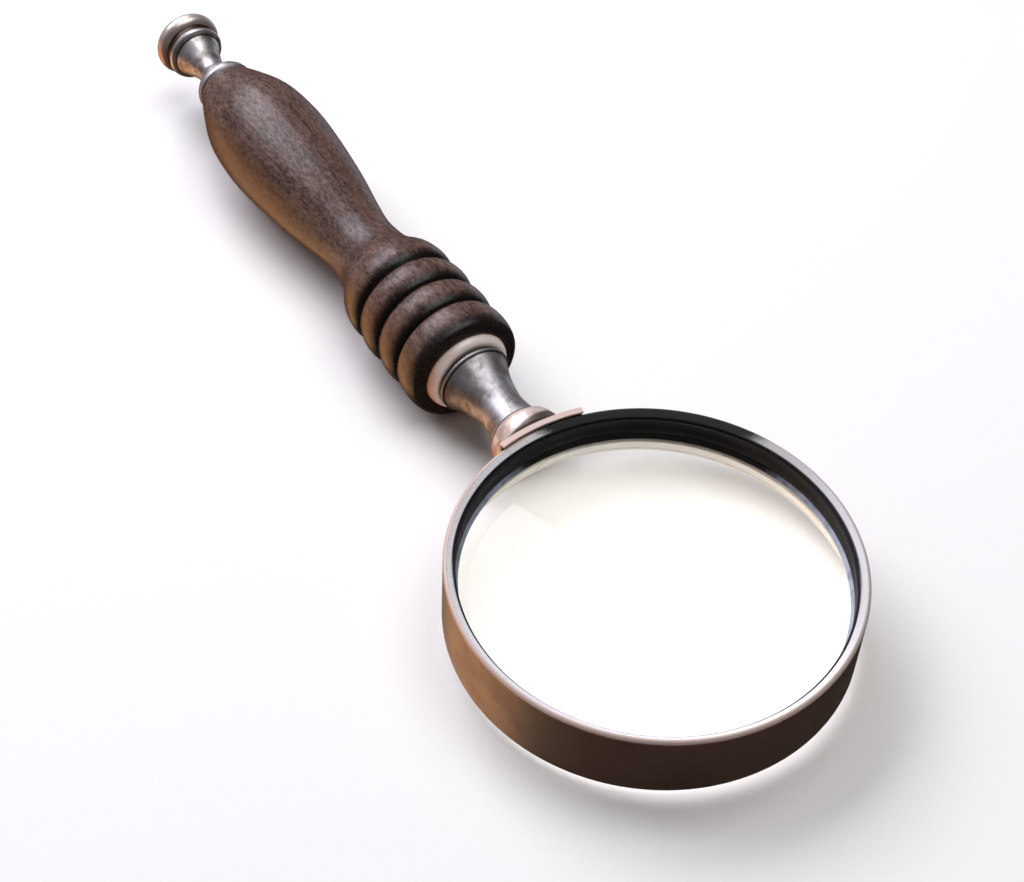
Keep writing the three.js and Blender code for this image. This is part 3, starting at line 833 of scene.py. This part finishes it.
def clamp_ring():
    outer = WALL_INNER - GAP
    top = CLAMP_BOTTOM + CLAMP_HEIGHT
    inner_height = 0.3
    outline = [
        (CLAMP_INNER, CLAMP_BOTTOM),
        (outer, CLAMP_BOTTOM),
        (outer, top),
        (outer - BAND_THICKNESS, top),
        (CLAMP_INNER, CLAMP_BOTTOM + inner_height),
    ]
    mesh = turned(held(eased(outline, 0.1)), "rim")
    add_piece("clamp", mesh, DARK_STEEL, "clamp_ring")


# ---- Joint between rim and handle ---------------------------------------------------------


def saddle_plate():
    inner = RIM_RADIUS + GAP
    outer = inner + SADDLE_THICKNESS
    hook_base = RIM_TOP + GAP
    height = hook_base + SADDLE_HOOK
    outline = [
        (SADDLE_HOOK_INNER, -height),
        (outer, -height),
        (outer, height),
        (SADDLE_HOOK_INNER, height),
        (SADDLE_HOOK_INNER, hook_base),
        (inner, hook_base),
        (inner, -hook_base),
        (SADDLE_HOOK_INNER, -hook_base),
    ]
    span = (90 - SADDLE_HALF_ANGLE, 90 + SADDLE_HALF_ANGLE)
    strip = turned(held(eased(outline, 0.2)), "rim", span, sides=SADDLE_SIDES)
    add_piece("saddle", cut_away(strip, screw_hole()), PALE_COPPER, "saddle_plate")


def foot_collar():
    foot_radius, bevel = 8.2, 0.4
    boss_radius, boss_length = 6.3, 0.8
    outline = [
        (BORE, FOOT_FRONT),
        (boss_radius, FOOT_FRONT),
        (boss_radius, FOOT_FRONT + boss_length),
        (foot_radius - bevel, FOOT_FRONT + boss_length),
        (foot_radius, FOOT_FRONT + boss_length + bevel),
        *smooth(
            [
                (foot_radius, FOOT_FRONT + 3.1),
                (7.7, FOOT_FRONT + 5),
                (7, FOOT_FRONT + 5.8),
                (6.3, FOOT_FRONT + 6.3),
                (FERRULE_FOOT_RADIUS, FOOT_BACK),
            ]
        ),
        (BORE, FOOT_BACK),
    ]
    mesh = turned(held(eased(outline, 0.25)), "handle")
    add_piece("foot", mesh, FOOT_COPPER, "foot_collar")


def trumpet_ferrule():
    front = FOOT_BACK + GAP
    outline = [
        (BORE, front),
        *smooth(
            [
                (FERRULE_FOOT_RADIUS, front),
                (5.3, front + 2.8),
                (NECK_RADIUS, front + 6.3),
                (6, front + 10.8),
                (7.1, front + 14),
                (FERRULE_LIP_RADIUS - 0.3, FERRULE_BACK - 0.7),
            ]
        ),
        (FERRULE_LIP_RADIUS, FERRULE_BACK - 0.6),
        (FERRULE_LIP_RADIUS, FERRULE_BACK),
        (BORE, FERRULE_BACK),
    ]
    mesh = turned(held(eased(outline, 0.12)), "handle")
    add_piece("ferrule", mesh, SILVER, "trumpet_ferrule")


def fillet_ring():
    front, back = FERRULE_BACK + GAP, CUP_FRONT - GAP
    radius = FERRULE_LIP_RADIUS - 0.2
    outline = [(BORE, front), (radius, front), (radius, back), (BORE, back)]
    mesh = turned(held(eased(outline, 0.28)), "handle")
    add_piece("fillet", mesh, DARK_BRONZE, "fillet_ring")


def copper_band():
    depth, length = 1.5, 2.4
    quarter_turn = arc((0, 0), 1, -90, 0)
    shoulder = [(CUP_RADIUS - depth * (1 - x), CUP_FRONT + length * (1 + y)) for x, y in quarter_turn]
    outline = [
        (BORE, CUP_FRONT),
        *shoulder,
        (CUP_RADIUS, CUP_BACK),
        (CUP_INNER, CUP_BACK),
        (CUP_INNER, CUP_FLOOR),
        (BORE, CUP_FLOOR),
    ]
    mesh = turned(held(eased(outline, 0.15)), "handle")
    add_piece("cup", mesh, CUP_COPPER, "copper_band")


# ---- Handle -------------------------------------------------------------------------------


def bead(start, steps=24):
    """One rounded bead from one groove to the next: a shallow arch."""
    points = []
    for i in range(1, steps + 1):
        t = i / steps
        rise = math.sqrt(max(math.sin(math.pi * t), 0))
        radius = BEAD_GROOVE_RADIUS + (BEAD_RADIUS - BEAD_GROOVE_RADIUS) * rise
        points.append((radius, start + BEAD_PITCH * t))
    return points


def wood_bores():
    """The inside of the wood: the front bore out to the front face, and the rear bore."""
    spigot, recess_front = CUP_INNER - GAP, CUP_FLOOR + 1.3
    insert_start, insert_end = FRONT_INSERT
    stud_hole_end, drill_point = 169, 168
    front = [
        (0, insert_end + 3),
        (BORE, insert_end + 2),
        (BORE, insert_end),
        (FRONT_INSERT_BORE, insert_end),
        (FRONT_INSERT_BORE, insert_start),
        (NUT_RECESS, insert_start),
        (NUT_RECESS, recess_front),
        (spigot, recess_front),
        (spigot, CUP_BACK + GAP),
        (CUP_RADIUS + GAP, CUP_BACK + GAP),
        (CUP_RADIUS + GAP, WOOD_FRONT),
    ]
    rear = [
        (REAR_INSERT_BORE, WOOD_BACK),
        (REAR_INSERT_BORE, REAR_INSERT),
        (STUD_BORE, REAR_INSERT),
        (STUD_BORE, stud_hole_end),
        (0, drill_point),
    ]
    return front, rear


def wood_handle():
    front_bead = smooth(
        [
            (12.1, WOOD_FRONT + 0.1),
            (13.1, WOOD_FRONT + 1.1),
            (BEAD_RADIUS, WOOD_FRONT + 4.2),
            (13.2, FIRST_GROOVE - 1.3),
            (BEAD_GROOVE_RADIUS, FIRST_GROOVE),
        ]
    )
    last_groove = FIRST_GROOVE + 2 * BEAD_PITCH
    grip = smooth(
        [
            (BEAD_GROOVE_RADIUS, last_groove),
            (13, last_groove + 1.5),
            (13.2, last_groove + 4),
            (12.4, BEADS_END - 1),
            (10.6, BEADS_END + 2.3),
            (9.3, WAIST - 7),
            (WAIST_RADIUS, WAIST),
            (9.4, WAIST + 7),
            (11.3, WAIST + 18),
            (12.9, GRIP - 10),
            (GRIP_RADIUS, GRIP),
            (12.5, GRIP + 10),
            (10.2, GRIP + 17.5),
            (7.6, WOOD_BACK - 0.8),
        ]
    )
    front_bore, rear_bore = wood_bores()
    middle_beads = bead(FIRST_GROOVE) + bead(FIRST_GROOVE + BEAD_PITCH)
    outline = [*front_bore, *front_bead, *middle_beads, *grip[1:], (7.2, WOOD_BACK), *rear_bore]
    outline = dense(eased(outline, radius=0.2, sharpest=34), spacing=0.8)
    mesh = turned(outline, "handle", reach=2.2)
    add_piece("handle_wood", mesh, ROSEWOOD, "wood_handle")


def finial_collar():
    front = WOOD_BACK + GAP
    bell = smooth(
        [
            (7.3, front + 0.5),
            (7.1, front + 1.9),
            (6, front + 3.7),
            (4.5, front + 5.2),
            (FINIAL_NECK_RADIUS, BELL_BACK),
        ]
    )
    outline = [(STUD_BORE, front), (6.9, front), *bell, (STUD_BORE, BELL_BACK)]
    mesh = turned(held(eased(outline, 0.15)), "handle")
    add_piece("bell_collar", mesh, SILVER, "finial_collar")


def finial_knob():
    neck = BELL_BACK + GAP
    stud_hole_end, drill_point = 199.25, 200.2
    ridge, groove, head = 201.8, 203, 206.2
    head_round = 2.3
    cone = smooth(
        [
            (FINIAL_NECK_RADIUS, neck),
            (FINIAL_NECK_RADIUS, neck + 1.5),
            (4.5, neck + 5.6),
            (6, ridge - 1.4),
        ]
    )
    dome = smooth([(5.6, KNOB_BACK - 2.6), (3.6, KNOB_BACK - 0.9), (0, KNOB_BACK)])
    outline = [
        (0, drill_point),
        (STUD_BORE, stud_hole_end),
        (STUD_BORE, neck),
        *cone,
        (6.9, ridge - 0.7),
        (7.2, ridge),
        (6.6, ridge + 0.7),
        (6.4, groove),
        *arc((KNOB_RADIUS - head_round, head), head_round, -75, 70, steps=16),
        *dome,
    ]
    mesh = turned(held(eased(outline, 0.22)), "handle")
    add_piece("knob", mesh, KNOB_METAL, "finial_knob")


rim_band()
add_piece("seat_strip", split_band(SEAT_BOTTOM, SEAT_TOP), IVORY, "seat_band")
lens_gasket()
lens()
clamp_ring()
liner = split_band(CLAMP_BOTTOM + CLAMP_HEIGHT + GAP, LINER_TOP)
add_piece("liner_strip", liner, BLACK, "liner_band")
saddle_plate()
foot_collar()
trumpet_ferrule()
fillet_ring()
copper_band()
wood_handle()
finial_collar()
finial_knob()

# The pieces that stay inside keep their CAD shapes.
INSIDE = {
    "rim_screw": STEEL,
    "tie_rod": STEEL,
    "lock_washer": STEEL,
    "lock_nut": STEEL,
    "front_insert": BRASS,
    "rear_insert": BRASS,
    "finial_stud": STEEL,
}
for node, material in INSIDE.items():
    for material_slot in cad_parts[node].material_slots:
        material_slot.material = material

# ---- Studio -------------------------------------------------------------------------------


def add_floor():
    """A plain pale floor. Shiny metal reflects the dim room in its place."""
    half = 20  # metres
    below = 0.0001  # metres between the floor and the glass
    corners = [(-half, -half, 0), (half, -half, 0), (half, half, 0), (-half, half, 0)]
    mesh = bpy.data.meshes.new("floor")
    mesh.from_pydata(corners, [], [(0, 1, 2, 3)])
    n = new_material("floor_paper", on_cad_mesh=True)
    grain = n.noise(n.place(), 0.9, detail=3)
    paper = n.blend(grain, (0.88, 0.875, 0.865), (0.9, 0.897, 0.89))
    mesh.materials.append(n.finish(paper, roughness=0.75))
    floor = bpy.data.objects.new("floor", mesh)
    floor.location.z = -below
    floor.visible_glossy = False
    bpy.context.scene.collection.objects.link(floor)


def add_light(name, place, size, watts, color, aim=(0, 0, 0), shadow=True):
    """A rectangular lamp that faces the point that it is aimed at, in metres."""
    light = bpy.data.lights.new(name, "AREA")
    light.use_shadow = shadow
    light.shape = "RECTANGLE"
    light.size, light.size_y = size
    light.energy = watts
    light.color = color
    lamp = bpy.data.objects.new(name, light)
    lamp.location = place
    direction = Vector(aim) - Vector(place)
    lamp.rotation_euler = direction.to_track_quat("-Z", "Y").to_euler()
    bpy.context.scene.collection.objects.link(lamp)


def add_world():
    """A dim room, with a soft gray glow above the handle's end and a small cool one on the right."""
    room, gray, cool = (0.055, 0.048, 0.046), (0.34, 0.33, 0.37), (0.6, 0.63, 0.72)
    n = Nodes(bpy.data.worlds.new("studio"))
    direction = n.node("ShaderNodeTexCoord").outputs["Generated"]
    above_handle = n.fade(n.dot(direction, (-0.25, 0.75, 0.6)), 0.3, 1.0)
    color = n.blend(above_handle, room, gray)
    on_the_right = n.fade(n.dot(direction, (0.86, 0.47, -0.19)), 0.9, 1.0)
    color = n.blend(on_the_right, color, cool)
    n.feed(n.tree.nodes["Background"].inputs["Color"], color)
    bpy.context.scene.world = n.owner


def add_camera():
    """The camera stands in front of the glass, to its left, and looks down on it."""
    place_mm = Vector((-166.1, -186.1, 312.1))
    right = Vector((0.84198, -0.53823, 0.03708))
    up = Vector((0.37673, 0.63576, 0.67371))
    back = right.cross(up)
    turn = Matrix((right, up, back)).transposed().to_4x4()
    stand = Matrix.Translation(place_mm * MM)
    camera = bpy.data.objects.new("camera", bpy.data.cameras.new("camera"))
    camera.data.sensor_width = 36
    camera.data.lens = 70.3
    camera.data.clip_start = 0.01
    camera.matrix_world = DESIGN_TO_ROW @ stand @ turn
    bpy.context.scene.collection.objects.link(camera)
    bpy.context.scene.camera = camera


add_floor()
add_light(
    "overhead",
    place=(0.2, -0.1, 1.0),
    size=(0.8, 0.8),
    watts=6,
    color=(1, 0.99, 0.98),
)
add_light(
    "window",
    place=(-0.12, 0.76, 0.78),
    size=(0.9, 0.6),
    watts=11,
    color=(0.93, 0.92, 1),
    aim=(0, 0.05, 0.01),
)
# Warm light from low on the left. It comes from below the floor, so it casts no shadow.
add_light(
    "bounce",
    place=(-0.62, 0.5, -0.5),
    size=(0.8, 0.8),
    watts=3.2,
    color=(1, 0.55, 0.28),
    shadow=False,
)
add_world()
add_camera()
bpy.context.scene.view_settings.view_transform = "Standard"
